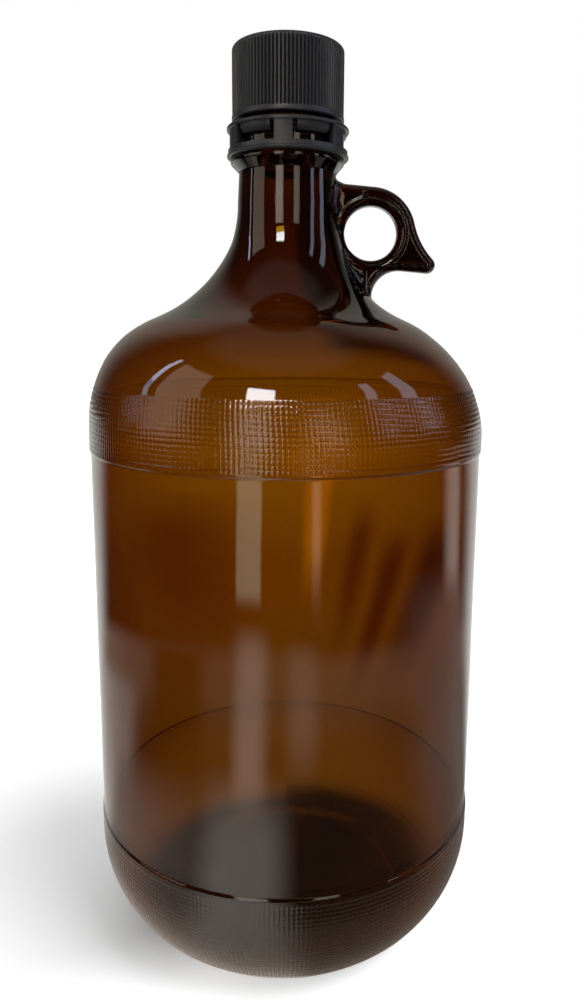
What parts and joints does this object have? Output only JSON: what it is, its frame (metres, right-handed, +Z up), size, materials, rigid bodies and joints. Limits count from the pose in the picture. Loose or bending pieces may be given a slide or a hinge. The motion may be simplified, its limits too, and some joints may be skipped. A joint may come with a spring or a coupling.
{
  "type": "glass jug with screw cap",
  "caption": "Amber glass jug with a moulded finger ring, a ribbed screw cap with a liner and a loose windowed tamper ring.",
  "frame": {"origin": "centre of the circle that the jug stands on", "axes": "+Z up along the jug's axis, +X towards the finger ring, -Y towards the viewer who sees the ring on the right"},
  "size_m": [0.1587, 0.1586, 0.3567],
  "materials": {
    "amber_glass": "clear, fire-polished",
    "black_plastic": "satin moulded",
    "white_foam": "matte foam",
    "clear_film": "smooth film"
  },
  "bodies": {
    "bottle": {"glass_bottle": "amber_glass"},
    "ring": {"tamper_ring": "black_plastic"},
    "liner": {"liner_wad": "white_foam", "liner_facing": "clear_film"},
    "cap": {"screw_cap": "black_plastic"}
  },
  "joints": [
    {"name": "ring_turn", "type": "hinge", "parent": "bottle", "child": "ring", "pos_m": [0, 0, 0.3217], "axis": [0, 0, 1], "continuous": true},
    {"name": "cap_lift", "type": "slide", "parent": "bottle", "child": "liner", "axis": [0, 0, 1], "range_m": [0, 0.0256]},
    {"name": "cap_turn", "type": "hinge", "parent": "liner", "child": "cap", "pos_m": [0, 0, 0.343], "axis": [0, 0, 1], "range_deg": [0, 2160]}
  ],
  "couplings": [
    {"joint": "cap_lift", "follows": "cap_turn", "m_per_rad": 0.00067375}
  ]
}
